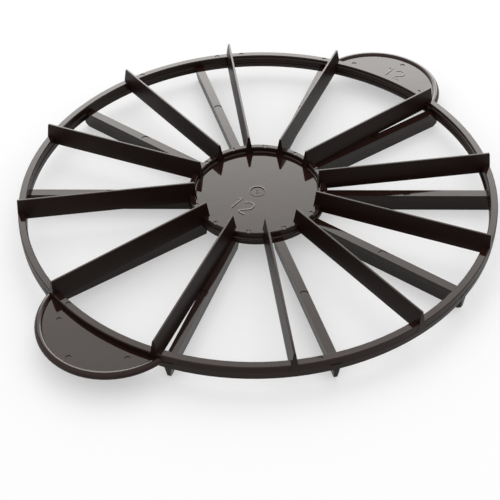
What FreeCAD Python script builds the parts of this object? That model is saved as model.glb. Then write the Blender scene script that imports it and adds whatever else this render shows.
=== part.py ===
import FreeCAD, Part
import math
import os
from FreeCAD import Vector

# Cake divider with blades on both sides, moulded in one piece.
# Frame: origin under the centre on the resting plane, +Z up,
# +X towards the handle that carries the numeral.

# Sizes in millimetres, angles in degrees.
RIM_DIAMETER = 265.0
RIM_HEIGHT = 8.6
RIM_WALL = 4.4
WALL_DRAFT = 2.5
EDGE_BREAK = 0.4
GROOVE_HEIGHT = 1.0
GROOVE_DEPTH = 0.5

HUB_DIAMETER = 76.6
HUB_WALL = 3.4
HUB_PLATE = 2.0
GATE_RECESS_DIAMETER = 9.2
GATE_RECESS_DEPTH = 0.7
GATE_DOT_DIAMETER = 1.8

UPPER_BLADES = 12
UPPER_FIRST_ANGLE = 15.0
UPPER_BLADE_HEIGHT = 12.0
LOWER_BLADES = 10
LOWER_FIRST_ANGLE = 18.0
LOWER_BLADE_HEIGHT = 12.0
BLADE_BASE = 5.8
BLADE_SHOULDER = 3.5
SHOULDER_HEIGHT = 4.0
BLADE_EDGE = 1.1
EDGE_ROUND = 0.2
BLADE_OVERHANG = 0.1
BLADE_INSIDE = 1.1
BLADE_END_DRAFT = 5.0
UPPER_CORNER = 0.5
LOWER_CORNER = 2.0

HANDLE_REACH = 26.7
HANDLE_RADIUS = 39.1
BEAD_DIAMETER = 4.2
PANEL_THICKNESS = 1.8

# Levels and radii that follow from the sizes.
MID = LOWER_BLADE_HEIGHT
HALF_RIM = RIM_HEIGHT / 2
RIM_TOP = MID + HALF_RIM
RIM_BOTTOM = MID - HALF_RIM
RIM_RADIUS = RIM_DIAMETER / 2
HUB_RADIUS = HUB_DIAMETER / 2
HANDLE_CENTRE = RIM_RADIUS + HANDLE_REACH - HANDLE_RADIUS
AXIS = Vector(0, 0, 1)


def drafted(rise):
    """How far a drafted wall leans in over this rise from the middle."""
    return rise * math.tan(math.radians(WALL_DRAFT))


def soft_outline(corners):
    """Closed wire through (point, radius) corners, with an arc where the radius is not 0."""
    arcs = []
    count = len(corners)
    for index in range(count):
        point, radius = corners[index]
        if radius <= 0:
            arcs.append((point, None, point))
            continue
        back = (corners[index - 1][0] - point).normalize()
        ahead = (corners[(index + 1) % count][0] - point).normalize()
        half_angle = back.getAngle(ahead) / 2
        run = radius / math.tan(half_angle)
        middle = (back + ahead).normalize() * (radius / math.sin(half_angle) - radius)
        arcs.append((point + back * run, point + middle, point + ahead * run))
    edges = []
    for index in range(count):
        start, middle, end = arcs[index]
        if middle is not None:
            edges.append(Part.Arc(start, middle, end).toShape())
        edges.append(Part.makeLine(end, arcs[(index + 1) % count][0]))
    return Part.Wire(edges)


def revolved(points):
    """Solid of revolution from a closed outline of (radius, height) points."""
    outline = [Vector(r, 0, z) for r, z in points]
    face = Part.Face(Part.makePolygon(outline + [outline[0]]))
    return face.revolve(Vector(0, 0, 0), AXIS, 360)


def wall_up(radius, way, grooved):
    """Points up one drafted wall of a ring; way is 1 for an outer wall, -1 for an inner."""
    edge = min(EDGE_BREAK, HALF_RIM * 0.4)
    groove = min(GROOVE_HEIGHT / 2, HALF_RIM * 0.4)
    side = [
        (radius - way * (drafted(HALF_RIM) + edge), HALF_RIM),
        (radius - way * drafted(HALF_RIM - edge), HALF_RIM - edge),
    ]
    middle = [(radius, 0.0)]
    if grooved:
        side.append((radius - way * drafted(groove), groove))
        middle = [(radius - way * GROOVE_DEPTH, 0.0)]
    below = [(r, -rise) for r, rise in side]
    above = list(reversed(side))
    return [(r, MID + rise) for r, rise in below + middle + above]


def make_rim():
    """Outer ring, drafted both ways from a fine groove round the middle of each wall."""
    outside = wall_up(RIM_RADIUS, 1, True)
    inside = wall_up(RIM_RADIUS - RIM_WALL, -1, True)
    return revolved(outside + list(reversed(inside)))


def make_hub():
    """Hub ring with a plate inside it and the round gate recess."""
    outside = wall_up(HUB_RADIUS, 1, False)
    inside = wall_up(HUB_RADIUS - HUB_WALL, -1, False)
    half = HUB_PLATE / 2
    meets = HUB_RADIUS - HUB_WALL + drafted(half)
    above = list(reversed(inside[3:]))
    below = list(reversed(inside[:2]))
    top = [(meets, MID + half), (0, MID + half)]
    bottom = [(0, MID - half), (meets, MID - half)]
    hub = revolved(outside + above + top + bottom + below)
    recess_floor = Vector(0, 0, MID + half - GATE_RECESS_DEPTH)
    recess = Part.makeCylinder(GATE_RECESS_DIAMETER / 2, GATE_RECESS_DEPTH * 2, recess_floor)
    dot = Part.makeCylinder(GATE_DOT_DIAMETER / 2, GATE_RECESS_DEPTH * 0.5, recess_floor)
    return hub.cut(recess).fuse(dot)


def blade_section(height):
    """Cross outline of a blade: a wide root, a shoulder and a narrow flat edge."""
    shoulder = min(SHOULDER_HEIGHT, height * 0.6)
    soft = min(EDGE_ROUND, BLADE_EDGE * 0.3)
    right = [
        (BLADE_BASE / 2, 0.0, 0.0),
        (BLADE_SHOULDER / 2, shoulder, 0.0),
        (BLADE_EDGE / 2, height, soft),
    ]
    left = [(-y, rise, radius) for y, rise, radius in reversed(right)]
    return soft_outline([(Vector(0, y, MID + rise), radius) for y, rise, radius in right + left])


def blade_side(height, corner, chamfered):
    """Side outline of a blade, from inside the hub ring to the rim's outer wall."""
    tilt = math.tan(math.radians(BLADE_END_DRAFT))
    start = HUB_RADIUS - HUB_WALL - BLADE_INSIDE
    end = RIM_RADIUS + BLADE_OVERHANG
    at_rim_top = end - drafted(HALF_RIM)
    at_edge = at_rim_top - (height - HALF_RIM) * tilt
    corners = [
        (start, 0.0, 0.0),
        (end, 0.0, 0.0),
        (at_rim_top, HALF_RIM, 0.0),
    ]
    if chamfered:
        corners.append((at_edge + corner * tilt, height - corner, 0.0))
        corners.append((at_edge - corner, height, 0.0))
    else:
        corners.append((at_edge, height, corner))
    corners.append((start + height * tilt, height, 0.0))
    wide = BLADE_BASE
    return soft_outline([(Vector(x, -wide, MID + rise), radius) for x, rise, radius in corners])


def make_blade(height, corner, chamfered):
    """One upward blade along +X, where its cross outline and its side outline agree."""
    length = RIM_RADIUS + BLADE_BASE
    along = Part.Face(blade_section(height)).extrude(Vector(length, 0, 0))
    across = Part.Face(blade_side(height, corner, chamfered)).extrude(Vector(0, 2 * BLADE_BASE, 0))
    return along.common(across)


def spaced(shape, count, first):
    """Copies of a shape evenly round the centre."""
    copies = []
    for index in range(count):
        turned = shape.copy()
        turned.rotate(Vector(0, 0, 0), AXIS, first + index * 360.0 / count)
        copies.append(turned)
    return copies


def make_handle():
    """Half-moon handle on the +X side: a thin panel inside a round bead."""
    bead_radius = BEAD_DIAMETER / 2
    bead_line = HANDLE_RADIUS - bead_radius
    bead = Part.makeTorus(bead_line, bead_radius, Vector(HANDLE_CENTRE, 0, MID), AXIS)
    base = Vector(HANDLE_CENTRE, 0, MID - PANEL_THICKNESS / 2)
    panel = Part.makeCylinder(bead_line, PANEL_THICKNESS, base)
    whole = bead.fuse(panel)
    inside = Part.makeCylinder(RIM_RADIUS - RIM_WALL / 2, MID * 4)
    return whole.cut(inside)


def make_divider():
    """All the features joined into one moulding."""
    upper = make_blade(UPPER_BLADE_HEIGHT, UPPER_CORNER, False)
    lower = make_blade(LOWER_BLADE_HEIGHT, LOWER_CORNER, True)
    lower = lower.mirror(Vector(0, 0, MID), AXIS)
    parts = [make_hub()]
    parts += spaced(upper, UPPER_BLADES, UPPER_FIRST_ANGLE)
    parts += spaced(lower, LOWER_BLADES, LOWER_FIRST_ANGLE)
    parts += spaced(make_handle(), 2, 0.0)
    return make_rim().multiFuse(parts)


os.makedirs("parts", exist_ok=True)
divider = make_divider()
print("solids", len(divider.Solids), "faces", len(divider.Faces), "valid", divider.isValid())
box = divider.BoundBox
print("box", box.XLength, box.YLength, box.ZLength, "volume", divider.Volume)
divider.exportStep("parts/cake_divider.step")
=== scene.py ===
import math

import bpy
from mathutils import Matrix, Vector


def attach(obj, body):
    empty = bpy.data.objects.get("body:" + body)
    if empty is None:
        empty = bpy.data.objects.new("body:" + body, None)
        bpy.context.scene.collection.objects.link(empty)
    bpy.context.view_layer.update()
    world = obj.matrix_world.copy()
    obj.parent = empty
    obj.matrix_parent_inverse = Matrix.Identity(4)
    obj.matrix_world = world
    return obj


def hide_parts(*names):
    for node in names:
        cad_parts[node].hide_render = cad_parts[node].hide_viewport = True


bl_info = {
    "name": "Cake divider",
    "version": (1, 0, 0),
    "blender": (4, 5, 0),
    "location": "View3D > Sidebar > Cake divider",
    "description": "Dresses a moulded cake divider and sets its studio",
    "category": "Object",
}

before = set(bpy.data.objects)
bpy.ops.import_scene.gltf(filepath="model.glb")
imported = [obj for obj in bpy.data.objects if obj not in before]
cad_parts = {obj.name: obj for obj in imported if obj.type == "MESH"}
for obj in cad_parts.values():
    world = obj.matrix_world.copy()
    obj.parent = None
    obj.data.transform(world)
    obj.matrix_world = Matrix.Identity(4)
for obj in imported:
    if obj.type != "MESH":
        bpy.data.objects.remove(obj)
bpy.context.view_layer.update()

MM = 0.001
QUARTER_TURN = math.pi / 2
BODY = "root"
NODE = "cake_divider"

# Levels and radii of the moulding that the marks and numerals sit on, in millimetres.
PARTING_LEVEL = 12.0
HUB_PLATE_LEVEL = 13.0
PANEL_LEVEL = 12.9
RIM_TOP_LEVEL = 16.3
HUB_WALL_RADIUS = 34.9
HUB_OUTER_RADIUS = 38.3
RIM_INNER_RADIUS = 128.2
RIM_MARK_RADIUS = 130.3
HUB_MARK_RADIUS = 36.6
BLADE_MARK_RADIUS = 83.0

# Twelve blades point up and ten point down, each set evenly spaced, in degrees.
UPPER_BLADE_ANGLES = [15.0 + 30.0 * step for step in range(12)]
LOWER_BLADE_ANGLES = [18.0 + 36.0 * step for step in range(10)]

# The stretch of a blade that is free between the hub and the rim, and its root there:
# where the flare starts, the half width there and a half width clear of the flare.
FREE_START = 38.6
FREE_END = 127.9
SHOULDER_RISE = 4.0
SHOULDER_HALF = 1.77
CLEAR_HALF = 3.4
# A cutter or a test reaches this far past a face, in millimetres.
SKIM = 0.01

# Where the ejector pins left a mark: angles round the rings and (x, y) places on the handles.
RIM_MARK_ANGLES = (18.3, 41.7, 48.5, 70.6, 170.2, -129.4)
HUB_MARK_ANGLES = range(0, 360, 30)
HANDLE_MARKS = (
    (134.7, 25.5), (151.0, -0.3), (133.2, -23.0),
    (-136.8, 20.8), (-152.4, -0.5), (-135.8, -24.1))
# The tool that presses a mark is this many times as long as the mark is deep.
PIN_LENGTH = 4
PIN_SIDES = 32

# Numerals, in millimetres: the foot of each pair, between its 1 and its 2, and where the
# middle of the 1 stands from there.
HUB_NUMERAL_PLACE = (-20.5, 0.4)
HANDLE_NUMERAL_PLACE = (135.5, 0.1)
ONE_PLACE = -2.75
# Shares of the numeral's height: the bowl of the 2 and the flag of the 1.
BOWL_SHARE = 0.255
FLAG_SHARE = 0.24
# The lower corner of the 2 has this radius, as a share of its stroke.
CORNER_SHARE = 0.6
# Headings in degrees: where the bowl of the 2 starts and ends, and the way of the flag.
BOWL_START = 165.0
BOWL_END = -45.0
FLAG_HEADING = 218.0
BOWL_STEPS = 16
CORNER_STEPS = 6
ROD_SIDES = 16
# The ends of a stroke are rounded over this width in millimetres.
END_ROUND = 0.3
END_STEPS = 3

# Turned rings: name, radius and level of the middle, half width and half height, and for an
# arc its first angle and its sweep, so that both of its ends lie inside blades.
RINGS = (
    ("hub_cove", HUB_WALL_RADIUS, 12.95, 0.55, 0.3),
    ("hub_parting_line", HUB_OUTER_RADIUS, PARTING_LEVEL, 0.2, 0.35),
    ("rim_rib_upper", RIM_INNER_RADIUS, PARTING_LEVEL + 2.0, 0.25, 0.3, -45, 90),
    ("rim_rib_lower", RIM_INNER_RADIUS, PARTING_LEVEL - 2.0, 0.25, 0.3, -54, 108),
)
RING_SIDES = 16
# Each ring has a step every two degrees.
RING_STEP = 2

# The gate's mark: radius, level of its top, depth of its body, in millimetres.
GATE_RADIUS = 4.75
GATE_LEVEL = HUB_PLATE_LEVEL + 0.005
GATE_DEPTH = 0.72
GATE_SIDES = 64
# Steps inwards over the gate as (width, rise): a low lip, its wall, the floor, a small ring
# and a dot.
GATE_STEPS = (
    (0.3, 0.05), (0.4, 0.0), (0.1, -0.45), (2.6, 0.0),
    (0.15, 0.06), (0.1, 0.0), (0.15, -0.06), (0.35, 0.0), (0.15, 0.07))

# Edges sharper than these angles in degrees stay crisp.
MOULDING_CREASE = 32
NUMERAL_CREASE = 40
RING_CREASE = 60
GATE_CREASE = 12

# Points closer than this are one: in the CAD mesh, and along the seams of a turned shape.
CAD_MERGE = 0.002
SEAM_MERGE = 0.001

# The plastic. How far a face lies level, from 0 for a wall to 1, where its gloss and its painted
# top light (a lighter brown on level faces) change over, and the share of shine that level faces
# have.
GLOSS_FROM = 0.7
GLOSS_TO = 0.97
LEVEL_FROM = 0.2
LEVEL_TO = 0.8
LEVEL_SHINE = 0.5
PLASTIC_IOR = 1.36
# Swirls of the melt: their width in millimetres, where they begin, where they are fullest
# and how much of their colour shows.
SWIRL_WIDTH = 18
SWIRL_FROM = 0.45
SWIRL_TO = 0.8
SWIRL_SHARE = 0.3
# Shrinkage waves and moulding grain: length and height in millimetres, and their strength.
WAVE_LENGTH = 9
WAVE_HEIGHT = 0.2
GRAIN_WIDTH = 0.8
GRAIN_HEIGHT = 0.02
BUMP_STRENGTH = 0.12

# The studio's floor: its width in metres and the roughness of its paper.
FLOOR_SIZE = 12
PAPER_ROUGHNESS = 0.9

# Lamps: name, elevation of the middle in degrees, distance, width and height in metres,
# radiance at the bottom and at the top, and whether it is the one that the shine shows.
LAMPS = (
    ("sheen_panel", 30.0, 3.0, 3.8, 2.424, 7.3, 2.15, True),
    ("key_panel", 50.0, 1.1, 0.9, 0.9, 1.2, 1.2, False),
)
LAMP_AZIMUTH = 38.0
# The lamps face this point, in metres.
LAMP_AIM = Vector((0, 0, 0.01))
# Shares of a lamp's height between which it fades, and how bent the fade is.
FADE_START = 0.587
FADE_END = 0.95
FADE_POWER = 1.8

# The photograph's camera: place in metres, turn in degrees, width of its sensor in
# millimetres, and how near to it a thing is still seen, in metres.
CAMERA_PLACE = (-0.395544, -0.308633, 0.444997)
CAMERA_TURN = (46.4319, 1.1097, -52.5217)
SENSOR_WIDTH = 36
CLIP_START = 0.01


def linear(code):
    """Linear colour with full alpha from an sRGB hex code, by the sRGB curve."""
    channels = []
    for index in (1, 3, 5):
        level = int(code[index:index + 2], 16) / 255
        if level <= 0.04045:
            channels.append(level / 12.92)
        else:
            channels.append(((level + 0.055) / 1.055) ** 2.4)
    return (*channels, 1.0)


def add_node(tree, kind, inputs=None, **settings):
    """Add a node with its settings, and set or link its inputs."""
    node = tree.nodes.new(kind)
    for name, value in settings.items():
        setattr(node, name, value)
    for name, value in (inputs or {}).items():
        if isinstance(value, bpy.types.NodeSocket):
            tree.links.new(value, node.inputs[name])
        else:
            node.inputs[name].default_value = value
    return node


class DividerFinish(bpy.types.PropertyGroup):
    """Colour and gloss of the moulded plastic."""

    brown: bpy.props.FloatVectorProperty(
        name="Brown", description="Colour of the pigmented plastic on upright walls",
        size=4, subtype="COLOR", min=0, max=1, default=linear("#190e0b"))
    # Painted light: the level faces get this lighter, warmer brown in place of the light from
    # above that falls on them, while the walls keep the darker brown.
    painted_lit_brown: bpy.props.FloatVectorProperty(
        name="Painted lit brown", description="Warmer colour of the polished level faces",
        size=4, subtype="COLOR", min=0, max=1, default=linear("#251410"))
    flow_brown: bpy.props.FloatVectorProperty(
        name="Flow brown", description="Slightly paler colour where the melt has swirled",
        size=4, subtype="COLOR", min=0, max=1, default=linear("#261612"))
    sheen_tint: bpy.props.FloatVectorProperty(
        name="Sheen tint", description="Warmth of the shine on the plastic",
        size=4, subtype="COLOR", min=0, max=1, default=linear("#fffcf6"))
    gloss_roughness: bpy.props.FloatProperty(
        name="Gloss roughness", description="Roughness of the polished level faces",
        subtype="FACTOR", min=0, max=1, default=0.07)
    wall_shine: bpy.props.FloatProperty(
        name="Wall shine", description="Strength of the shine on the upright walls",
        subtype="FACTOR", min=0, max=1, default=0.25)
    dull_roughness: bpy.props.FloatProperty(
        name="Dull roughness", description="Roughness of the upright walls, drawn over the tool",
        subtype="FACTOR", min=0, max=1, default=0.36)


class DividerMarks(bpy.types.PropertyGroup):
    """Sizes of the raised numerals and the ejector marks."""

    hub_numeral: bpy.props.FloatProperty(
        name="Hub numeral height", description="Cap height of the numeral on the hub plate",
        unit="LENGTH", default=11.6 * MM)
    handle_numeral: bpy.props.FloatProperty(
        name="Handle numeral height", description="Cap height of the numeral on the handle",
        unit="LENGTH", default=10.4 * MM)
    stroke: bpy.props.FloatProperty(
        name="Stroke", description="Thickness of the rod that forms a stroke of a numeral",
        unit="LENGTH", default=1.6 * MM)
    flatness: bpy.props.FloatProperty(
        name="Flatness", description="Height of a stroke's section against its width",
        subtype="FACTOR", min=0.05, max=1, default=0.3)
    rise: bpy.props.FloatProperty(
        name="Rise", description="Height of the numerals above the plate",
        unit="LENGTH", default=0.13 * MM)
    handle_pin: bpy.props.FloatProperty(
        name="Handle pin mark", description="Diameter of the ejector marks on the handles",
        unit="LENGTH", default=3.0 * MM)
    blade_pin: bpy.props.FloatProperty(
        name="Blade pin mark", description="Diameter of the ejector marks on the lower blades",
        unit="LENGTH", default=4.8 * MM)
    ring_pin: bpy.props.FloatProperty(
        name="Ring pin mark", description="Diameter of the ejector marks on the hub ring and rim",
        unit="LENGTH", default=2.8 * MM)
    pin_depth: bpy.props.FloatProperty(
        name="Pin mark depth", description="How deep the ejector marks are",
        unit="LENGTH", default=0.35 * MM)
    upper_root: bpy.props.FloatProperty(
        name="Upper root half width", description="Half width of an upper blade at its root",
        unit="LENGTH", default=2.2 * MM)
    lower_root: bpy.props.FloatProperty(
        name="Lower root half width", description="Half width of a lower blade at its root",
        unit="LENGTH", default=2.45 * MM)


class DividerStage(bpy.types.PropertyGroup):
    """Floor, lamps and camera."""

    floor: bpy.props.FloatVectorProperty(
        name="Floor", description="Colour of the studio floor",
        size=4, subtype="COLOR", min=0, max=1, default=linear("#fbfbfb"))
    lens: bpy.props.FloatProperty(
        name="Lens", description="Focal length on a 36 mm wide sensor",
        unit="CAMERA", default=85.2085)
    fill: bpy.props.FloatProperty(
        name="Fill", description="Strength of the even light from all round",
        min=0, default=0.9)
    white_share: bpy.props.FloatProperty(
        name="White share", description="How much of the floor is seen as plain white",
        subtype="FACTOR", min=0, max=1, default=0.4)


def deselect():
    """Nothing is left selected and the scene is in object mode."""
    if bpy.context.object and bpy.context.object.mode != "OBJECT":
        bpy.ops.object.mode_set(mode="OBJECT")
    bpy.ops.object.select_all(action="DESELECT")


def only(obj):
    """Make this object the active one and the only one selected."""
    deselect()
    obj.select_set(True)
    bpy.context.view_layer.objects.active = obj


def apply_place():
    """Move the place, turn and scale of the selected objects into their meshes."""
    bpy.ops.object.transform_apply(location=True, rotation=True, scale=True)


def joined(pieces):
    """Join these objects into the first one."""
    only(pieces[0])
    for piece in pieces:
        piece.select_set(True)
    bpy.ops.object.join()
    return bpy.context.object


def close_seams():
    """In edit mode, merge the points that meet and face the whole shape outwards."""
    bpy.ops.mesh.select_all(action="SELECT")
    bpy.ops.mesh.remove_doubles(threshold=SEAM_MERGE * MM)
    bpy.ops.mesh.normals_make_consistent(inside=False)


def spin_about(centre, turn, steps):
    """Spin what is selected about a centre, to the left where the turn is above 0."""
    bpy.ops.mesh.spin(steps=steps, angle=-turn, center=(*centre, 0), axis=(0, 0, 1))


def check_faces(pieces):
    """Stop the script where a piece came out empty."""
    for piece in pieces:
        if not piece.data.polygons:
            raise RuntimeError(f"{piece.name} has no faces")


def finished(obj, name, material):
    """Name a piece, apply its place, give it its material and tie it to the body."""
    only(obj)
    apply_place()
    obj.name = name
    obj.data.name = name
    obj.data.materials.clear()
    obj.data.materials.append(material)
    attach(obj, BODY)
    return obj


def moulded_polypropylene():
    """Dark brown polypropylene copolymer, injection moulded in a polished steel tool.

    The eye sees a near black brown with a clear, slightly uneven shine.
    """
    finish = bpy.context.scene.divider_finish
    material = bpy.data.materials.new("brown_moulded_polypropylene")
    material.use_nodes = True
    tree = material.node_tree
    tree.nodes.clear()
    coords = add_node(tree, "ShaderNodeTexCoord")
    place = coords.outputs["Object"]
    # Level faces come off the polished tool, and upright walls are dragged dull over it.
    facing = add_node(tree, "ShaderNodeSeparateXYZ", {"Vector": coords.outputs["Normal"]})
    upward = add_node(tree, "ShaderNodeMath", {0: facing.outputs["Z"]}, operation="ABSOLUTE")
    rough = add_node(tree, "ShaderNodeMapRange", {
        "Value": upward.outputs[0], "From Min": GLOSS_FROM, "From Max": GLOSS_TO,
        "To Min": finish.dull_roughness, "To Max": finish.gloss_roughness})
    level = add_node(tree, "ShaderNodeMapRange", {
        "Value": upward.outputs[0], "From Min": LEVEL_FROM, "From Max": LEVEL_TO})
    shine = add_node(tree, "ShaderNodeMapRange", {
        "Value": level.outputs["Result"], "To Min": finish.wall_shine, "To Max": LEVEL_SHINE})
    # Painted light: faces that lie level are coloured a lighter, warmer brown than the upright
    # walls, standing in for the light that falls on them from above.
    brown_with_painted_top_light = add_node(
        tree, "ShaderNodeMix", {"Factor": level.outputs["Result"]}, data_type="RGBA")
    brown_with_painted_top_light.inputs["A"].default_value = finish.brown
    brown_with_painted_top_light.inputs["B"].default_value = finish.painted_lit_brown
    # Swirls of the melt are hardly paler than the rest.
    swirl = add_node(tree, "ShaderNodeTexNoise", {
        "Vector": place, "Scale": 1 / (SWIRL_WIDTH * MM), "Detail": 3.0})
    swirled = add_node(tree, "ShaderNodeMapRange", {
        "Value": swirl.outputs["Fac"], "From Min": SWIRL_FROM, "From Max": SWIRL_TO,
        "To Max": SWIRL_SHARE})
    colour = add_node(
        tree, "ShaderNodeMix", {"Factor": swirled.outputs["Result"]}, data_type="RGBA")
    tree.links.new(brown_with_painted_top_light.outputs["Result"], colour.inputs["A"])
    colour.inputs["B"].default_value = finish.flow_brown
    # Shrinkage leaves soft waves, and the tool's polish leaves a fine grain.
    wave = add_node(tree, "ShaderNodeTexNoise", {
        "Vector": place, "Scale": 1 / (WAVE_LENGTH * MM), "Detail": 1.0})
    waved = add_node(tree, "ShaderNodeBump", {
        "Height": wave.outputs["Fac"], "Strength": BUMP_STRENGTH, "Distance": WAVE_HEIGHT * MM})
    grain = add_node(tree, "ShaderNodeTexNoise", {
        "Vector": place, "Scale": 1 / (GRAIN_WIDTH * MM), "Detail": 2.0})
    grained = add_node(tree, "ShaderNodeBump", {
        "Height": grain.outputs["Fac"], "Strength": BUMP_STRENGTH,
        "Distance": GRAIN_HEIGHT * MM, "Normal": waved.outputs["Normal"]})
    shader = add_node(tree, "ShaderNodeBsdfPrincipled", {
        "Base Color": colour.outputs["Result"], "Roughness": rough.outputs["Result"],
        "IOR": PLASTIC_IOR, "Specular IOR Level": shine.outputs["Result"],
        "Specular Tint": finish.sheen_tint, "Normal": grained.outputs["Normal"]})
    add_node(tree, "ShaderNodeOutputMaterial", {"Surface": shader.outputs["BSDF"]})
    return material


def plastic():
    """The one material of the moulding, made when it is first asked for."""
    return bpy.data.materials.get("brown_moulded_polypropylene") or moulded_polypropylene()


def merged_copy(node):
    """A copy of a CAD node as one closed shell, with the node's own shading cleared."""
    only(node)
    bpy.ops.object.duplicate()
    shell = bpy.context.object
    shell.parent = None
    bpy.ops.mesh.customdata_custom_splitnormals_clear()
    bpy.ops.object.mode_set(mode="EDIT")
    bpy.ops.mesh.select_all(action="SELECT")
    bpy.ops.mesh.remove_doubles(threshold=CAD_MERGE * MM)
    bpy.ops.object.mode_set(mode="OBJECT")
    return shell


def add_pins(places, diameter, depth):
    """Ejector pins that reach this deep below each (x, y, level) place, in millimetres."""
    pins = []
    length = PIN_LENGTH * depth
    for x, y, level in places:
        deselect()
        middle = (x * MM, y * MM, level * MM + length / 2 - depth)
        bpy.ops.mesh.primitive_cylinder_add(
            vertices=PIN_SIDES, radius=diameter / 2, depth=length, location=middle)
        pins.append(bpy.context.object)
    return pins


def polar(radius, angle, level):
    """The (x, y, level) place at this radius and this angle in degrees."""
    across = math.radians(angle)
    return (radius * math.cos(across), radius * math.sin(across), level)


def cut_away(shell, tools):
    """Take the tools, joined into one, away from the shell."""
    tool = joined(tools)
    only(shell)
    cut = shell.modifiers.new("cut", "BOOLEAN")
    cut.operation = "DIFFERENCE"
    cut.solver = "EXACT"
    cut.object = tool
    bpy.ops.object.modifier_apply(modifier=cut.name)
    only(tool)
    bpy.ops.object.delete()


def press_marks(shell, marks):
    """Sink the round ejector marks into the tops of the handles, rim, hub and lower blades."""
    on_handles = [(x, y, PANEL_LEVEL) for x, y in HANDLE_MARKS]
    on_blades = [polar(BLADE_MARK_RADIUS, angle, PARTING_LEVEL) for angle in LOWER_BLADE_ANGLES]
    on_rings = [polar(RIM_MARK_RADIUS, angle, RIM_TOP_LEVEL) for angle in RIM_MARK_ANGLES]
    on_rings += [polar(HUB_MARK_RADIUS, angle, RIM_TOP_LEVEL) for angle in HUB_MARK_ANGLES]
    pins = add_pins(on_handles, marks.handle_pin, marks.pin_depth)
    pins += add_pins(on_blades, marks.blade_pin, marks.pin_depth)
    pins += add_pins(on_rings, marks.ring_pin, marks.pin_depth)
    cut_away(shell, pins)


def pick(obj, test):
    """Select the points of a mesh that pass a test, and stay in edit mode."""
    only(obj)
    bpy.ops.object.mode_set(mode="EDIT")
    bpy.ops.mesh.select_mode(type="VERT")
    bpy.ops.mesh.select_all(action="DESELECT")
    bpy.ops.object.mode_set(mode="OBJECT")
    for point in obj.data.vertices:
        point.select = test(point.co)
    bpy.ops.object.mode_set(mode="EDIT")


def root_cutter(way, half_root):
    """Prism along X that slims one side of a blade's root; way is 1 for a blade that points up."""
    low, high = sorted((-way * SKIM, way * SHOULDER_RISE))
    middle = (SHOULDER_HALF + CLEAR_HALF) / 2 * MM
    deselect()
    bpy.ops.mesh.primitive_cube_add(
        size=1, location=(0, middle, (PARTING_LEVEL + (low + high) / 2) * MM),
        scale=((FREE_END - FREE_START) * MM, (CLEAR_HALF - SHOULDER_HALF) * MM, (high - low) * MM))
    cutter = bpy.context.object
    apply_place()
    pick(cutter, lambda point: point.y < middle and abs(point.z - PARTING_LEVEL * MM) < MM)
    bpy.ops.transform.translate(value=(0, half_root - SHOULDER_HALF * MM, 0))
    bpy.ops.object.mode_set(mode="OBJECT")
    return cutter


def slim_roots(shell, way, half_root, angles):
    """Bring both sides of each blade's root in, so that its sides run nearly straight."""
    pattern = root_cutter(way, half_root)
    cutters = []
    for angle in angles:
        x, y, level = polar((FREE_START + FREE_END) / 2, angle, 0)
        for turn in (0, 180):
            cutter = pattern.copy()
            cutter.data = pattern.data.copy()
            bpy.context.collection.objects.link(cutter)
            cutter.location = (x * MM, y * MM, level)
            cutter.rotation_euler.z = math.radians(angle + turn)
            cutters.append(cutter)
    only(pattern)
    bpy.ops.object.delete()
    cut_away(shell, cutters)


class DIVIDER_OT_moulding(bpy.types.Operator):
    """The moulding itself with its ejector marks, walls shaded smooth and edges kept"""

    bl_idname = "divider.moulding"
    bl_label = "Moulding"

    def execute(self, context):
        shell = merged_copy(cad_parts[NODE])
        marks = context.scene.divider_marks
        slim_roots(shell, 1, marks.upper_root, UPPER_BLADE_ANGLES)
        slim_roots(shell, -1, marks.lower_root, LOWER_BLADE_ANGLES)
        before = len(shell.data.vertices)
        press_marks(shell, marks)
        if len(shell.data.vertices) <= before:
            raise RuntimeError("the ejector marks were not pressed into the moulding")
        only(shell)
        bpy.ops.object.shade_smooth_by_angle(angle=math.radians(MOULDING_CREASE))
        finished(shell, "moulding", plastic())
        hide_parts(NODE)
        return {"FINISHED"}


def start_rod(x, y, heading, thickness):
    """A round rod begins here, as a disc that faces along the heading, left in edit mode."""
    deselect()
    bpy.ops.mesh.primitive_circle_add(
        vertices=ROD_SIDES, radius=thickness / 2, fill_type="NGON", location=(x, y, 0),
        rotation=(QUARTER_TURN, 0, heading + QUARTER_TURN))
    rod = bpy.context.object
    apply_place()
    bpy.ops.object.mode_set(mode="EDIT")
    bpy.ops.mesh.select_all(action="SELECT")
    return rod


def run_rod(heading, length):
    """The rod runs straight on."""
    step = (length * math.cos(heading), length * math.sin(heading), 0)
    bpy.ops.mesh.extrude_region_move(TRANSFORM_OT_translate={"value": step})


def end_rod(rod):
    """Close the rod, face it outwards and round its two ends, its only faces past four sides."""
    close_seams()
    bpy.ops.mesh.select_all(action="DESELECT")
    bpy.ops.object.mode_set(mode="OBJECT")
    for face in rod.data.polygons:
        face.select = len(face.vertices) > 4
    bpy.ops.object.mode_set(mode="EDIT")
    bpy.ops.mesh.select_mode(type="FACE")
    bpy.ops.mesh.bevel(offset=END_ROUND * MM, segments=END_STEPS)
    bpy.ops.object.mode_set(mode="OBJECT")
    return rod


def numeral_two(height, thickness):
    """The 2: an open bowl, a slanting stroke, a tight turn and a foot."""
    half = thickness / 2
    bowl = height * BOWL_SHARE
    bowl_x = bowl + half
    bowl_y = height - bowl - half
    first = math.radians(BOWL_START)
    last = math.radians(BOWL_END)
    rod = start_rod(
        bowl_x + bowl * math.cos(first), bowl_y + bowl * math.sin(first),
        first - QUARTER_TURN, thickness)
    spin_about((bowl_x, bowl_y), last - first, BOWL_STEPS)
    slant = last - QUARTER_TURN
    x = bowl_x + bowl * math.cos(last)
    y = bowl_y + bowl * math.sin(last)
    corner = thickness * CORNER_SHARE
    fall = y - half - corner * (1 - math.cos(slant))
    run = fall / -math.sin(slant)
    run_rod(slant, run)
    x += run * math.cos(slant)
    y += run * math.sin(slant)
    centre = (x - corner * math.sin(slant), y + corner * math.cos(slant))
    spin_about(centre, -slant, CORNER_STEPS)
    run_rod(0.0, 2 * bowl_x - half - centre[0])
    return end_rod(rod)


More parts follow.
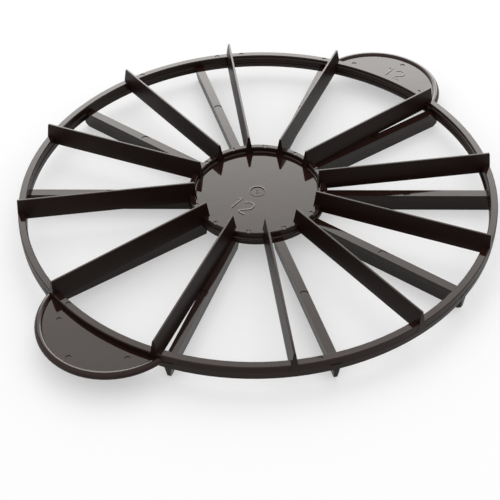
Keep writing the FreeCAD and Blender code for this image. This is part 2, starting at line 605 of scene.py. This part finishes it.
def numeral_one(height, thickness, place):
    """The 1: an upright and a short flag."""
    half = thickness / 2
    upright = start_rod(place, half, QUARTER_TURN, thickness)
    run_rod(QUARTER_TURN, height - thickness)
    end_rod(upright)
    heading = math.radians(FLAG_HEADING)
    flag = start_rod(place, height - half, heading, thickness)
    run_rod(heading, height * FLAG_SHARE)
    end_rod(flag)
    return [upright, flag]


class DIVIDER_OT_numerals(bpy.types.Operator):
    """The raised 12 on the hub plate and its copy on the handle"""

    bl_idname = "divider.numerals"
    bl_label = "Numerals"

    def execute(self, context):
        marks = context.scene.divider_marks
        tall = marks.hub_numeral
        parts = [numeral_two(tall, marks.stroke)]
        parts += numeral_one(tall, marks.stroke, ONE_PLACE * MM)
        on_hub = joined(parts)
        bpy.ops.object.shade_smooth_by_angle(angle=math.radians(NUMERAL_CREASE))
        on_hub.rotation_euler.z = -QUARTER_TURN
        only(on_hub)
        apply_place()
        bpy.ops.object.duplicate()
        on_handle = context.object
        on_hub.scale = (1.0, 1.0, marks.flatness)
        on_handle.scale = (marks.handle_numeral / tall, 1.0, marks.flatness)
        sunk = marks.rise - marks.flatness * marks.stroke / 2
        for numeral, name, (x, y), level in (
                (on_hub, "hub_numeral", HUB_NUMERAL_PLACE, HUB_PLATE_LEVEL),
                (on_handle, "handle_numeral", HANDLE_NUMERAL_PLACE, PANEL_LEVEL)):
            numeral.location = (x * MM, y * MM, level * MM + sunk)
            finished(numeral, name, plastic())
        check_faces((on_hub, on_handle))
        return {"FINISHED"}


def turned_ring(name, radius, level, half_width, half_height, first=0, sweep=360):
    """A ring or an arc with an oval section, turned about the middle of the part."""
    x, y, z = polar(radius, first, level)
    deselect()
    bpy.ops.mesh.primitive_circle_add(
        vertices=RING_SIDES, radius=MM, fill_type="NOTHING" if sweep == 360 else "NGON",
        location=(x * MM, y * MM, z * MM), rotation=(QUARTER_TURN, 0, math.radians(first)),
        scale=(half_width, half_height, 1))
    ring = bpy.context.object
    apply_place()
    bpy.ops.object.mode_set(mode="EDIT")
    bpy.ops.mesh.select_all(action="SELECT")
    spin_about((0, 0), math.radians(sweep), round(sweep / RING_STEP))
    close_seams()
    bpy.ops.object.mode_set(mode="OBJECT")
    bpy.ops.object.shade_smooth_by_angle(angle=math.radians(RING_CREASE))
    return finished(ring, name, plastic())


def gate(name):
    """The round mark that the gate left in the middle of the hub plate."""
    deselect()
    bpy.ops.mesh.primitive_cylinder_add(
        vertices=GATE_SIDES, radius=GATE_RADIUS * MM, depth=GATE_DEPTH * MM,
        location=(0, 0, (GATE_LEVEL - GATE_DEPTH / 2) * MM))
    mark = bpy.context.object
    apply_place()
    pick(mark, lambda point: point.z > (GATE_LEVEL - SKIM) * MM)
    for step_in, rise in GATE_STEPS:
        bpy.ops.mesh.inset(thickness=step_in * MM, depth=rise * MM)
    bpy.ops.object.mode_set(mode="OBJECT")
    bpy.ops.object.shade_smooth_by_angle(angle=math.radians(GATE_CREASE))
    return finished(mark, name, plastic())


class DIVIDER_OT_rings(bpy.types.Operator):
    """The gate's mark on the hub plate, and the fine rings on the walls of the hub and rim"""

    bl_idname = "divider.rings"
    bl_label = "Rings"

    def execute(self, context):
        pieces = [turned_ring(*ring) for ring in RINGS]
        pieces.append(gate("gate_mark"))
        check_faces(pieces)
        return {"FINISHED"}


class DIVIDER_OT_stage(bpy.types.Operator):
    """Pale floor, soft lamps and the camera"""

    bl_idname = "divider.stage"
    bl_label = "Stage"

    def execute(self, context):
        stage = context.scene.divider_stage
        deselect()
        bpy.ops.mesh.primitive_plane_add(size=FLOOR_SIZE, location=(0, 0, 0))
        floor = context.object
        floor.name = "studio_floor"
        # Matt coated paper from a roll: even and pale, with no shine of its own.
        material = bpy.data.materials.new("matt_studio_paper")
        material.use_nodes = True
        tree = material.node_tree
        tree.nodes.clear()
        paper = add_node(tree, "ShaderNodeBsdfPrincipled", {
            "Base Color": stage.floor, "Roughness": PAPER_ROUGHNESS, "Specular IOR Level": 0.0})
        # The camera and the gloss see the paper partly as plain white, so its shadows stay soft.
        white = add_node(tree, "ShaderNodeEmission", {"Strength": 1.0})
        share = add_node(tree, "ShaderNodeMapRange", {
            "Value": seen_rays(tree), "To Max": stage.white_share})
        shader = add_node(tree, "ShaderNodeMixShader", {
            0: share.outputs["Result"], 1: paper.outputs["BSDF"], 2: white.outputs["Emission"]})
        add_node(tree, "ShaderNodeOutputMaterial", {"Surface": shader.outputs["Shader"]})
        floor.data.materials.append(material)
        set_world(context.scene, stage.fill)
        for lamp in LAMPS:
            add_lamp(*lamp)
        add_camera(context.scene, stage.lens)
        return {"FINISHED"}


def add_lamp(name, elevation, distance, width, height, low, high, shine):
    """A rectangular soft lamp that faces the object and fades from its lower part upwards."""
    across = math.radians(LAMP_AZIMUTH)
    up = math.radians(elevation)
    way = Vector((math.cos(up) * math.cos(across), math.cos(up) * math.sin(across), math.sin(up)))
    deselect()
    bpy.ops.object.light_add(type="AREA", location=LAMP_AIM + way * distance)
    lamp = bpy.context.object
    lamp.name = name
    lamp.rotation_euler = (-way).to_track_quat("-Z", "Y").to_euler()
    lamp.data.shape = "RECTANGLE"
    lamp.data.size = width
    lamp.data.size_y = height
    # At this power the lamp's radiance is what its nodes give.
    lamp.data.energy = math.pi * width * height
    lamp.data.use_nodes = True
    tree = lamp.data.node_tree
    tree.nodes.clear()
    place = add_node(tree, "ShaderNodeNewGeometry").outputs["Parametric"]
    rise = add_node(tree, "ShaderNodeSeparateXYZ", {"Vector": place})
    fade = add_node(tree, "ShaderNodeMapRange", {
        "Value": rise.outputs["Y"], "From Min": FADE_START, "From Max": FADE_END,
        "To Min": 1.0, "To Max": 0.0})
    curve = add_node(
        tree, "ShaderNodeMath", {0: fade.outputs["Result"], 1: FADE_POWER}, operation="POWER")
    strength = add_node(tree, "ShaderNodeMapRange", {
        "Value": curve.outputs[0], "To Min": high, "To Max": low})
    light = add_node(tree, "ShaderNodeEmission", {"Strength": strength.outputs["Result"]})
    add_node(tree, "ShaderNodeOutputLight", {"Surface": light.outputs["Emission"]})
    lamp.visible_camera = False
    lamp.visible_diffuse = not shine
    lamp.visible_glossy = shine


def seen_rays(tree):
    """1 for a ray from the camera, a gloss or a clear body, and 0 for one that only lights."""
    rays = add_node(tree, "ShaderNodeLightPath")
    seen = rays.outputs["Is Camera Ray"]
    for name in ("Is Glossy Ray", "Is Transmission Ray"):
        both = add_node(
            tree, "ShaderNodeMath", {0: seen, 1: rays.outputs[name]}, operation="MAXIMUM")
        seen = both.outputs[0]
    return seen


def set_world(scene, fill):
    """White surroundings for what the camera and the gloss see, and a soft fill."""
    world = bpy.data.worlds.new("studio")
    scene.world = world
    world.use_nodes = True
    tree = world.node_tree
    tree.nodes.clear()
    strength = add_node(tree, "ShaderNodeMapRange", {
        "Value": seen_rays(tree), "To Min": fill, "To Max": 1.0})
    back = add_node(tree, "ShaderNodeBackground", {"Strength": strength.outputs["Result"]})
    back.inputs["Color"].default_value = (1, 1, 1, 1)
    add_node(tree, "ShaderNodeOutputWorld", {"Surface": back.outputs["Background"]})


def add_camera(scene, lens):
    """The camera of the photograph."""
    deselect()
    bpy.ops.object.camera_add(location=CAMERA_PLACE)
    camera = bpy.context.object
    camera.name = "photo_camera"
    camera.rotation_euler = [math.radians(a) for a in CAMERA_TURN]
    camera.data.sensor_width = SENSOR_WIDTH
    camera.data.lens = lens
    camera.data.clip_start = CLIP_START
    scene.camera = camera


class DIVIDER_PT_panel(bpy.types.Panel):
    """The divider's pieces, stage and settings in the sidebar"""

    bl_idname = "DIVIDER_PT_panel"
    bl_label = "Cake divider"
    bl_space_type = "VIEW_3D"
    bl_region_type = "UI"
    bl_category = "Cake divider"

    def draw(self, context):
        layout = self.layout
        for operator in OPERATORS:
            layout.operator(operator.bl_idname)
        scene = context.scene
        for settings in (scene.divider_finish, scene.divider_marks, scene.divider_stage):
            box = layout.box()
            for name in settings.__annotations__:
                box.prop(settings, name)


OPERATORS = (DIVIDER_OT_moulding, DIVIDER_OT_numerals, DIVIDER_OT_rings, DIVIDER_OT_stage)

CLASSES = (
    DividerFinish,
    DividerMarks,
    DividerStage,
    *OPERATORS,
    DIVIDER_PT_panel,
)


def register():
    """Register the classes and hang the settings on the scene."""
    for item in CLASSES:
        bpy.utils.register_class(item)
    bpy.types.Scene.divider_finish = bpy.props.PointerProperty(type=DividerFinish)
    bpy.types.Scene.divider_marks = bpy.props.PointerProperty(type=DividerMarks)
    bpy.types.Scene.divider_stage = bpy.props.PointerProperty(type=DividerStage)


def unregister():
    """Take the settings and the classes away again."""
    del bpy.types.Scene.divider_stage
    del bpy.types.Scene.divider_marks
    del bpy.types.Scene.divider_finish
    for item in reversed(CLASSES):
        bpy.utils.unregister_class(item)


def main():
    """Make every piece in order."""
    register()
    bpy.context.scene.view_settings.view_transform = "Standard"
    bpy.ops.divider.moulding()
    bpy.ops.divider.numerals()
    bpy.ops.divider.rings()
    bpy.ops.divider.stage()


if __name__ == "__main__":
    main()
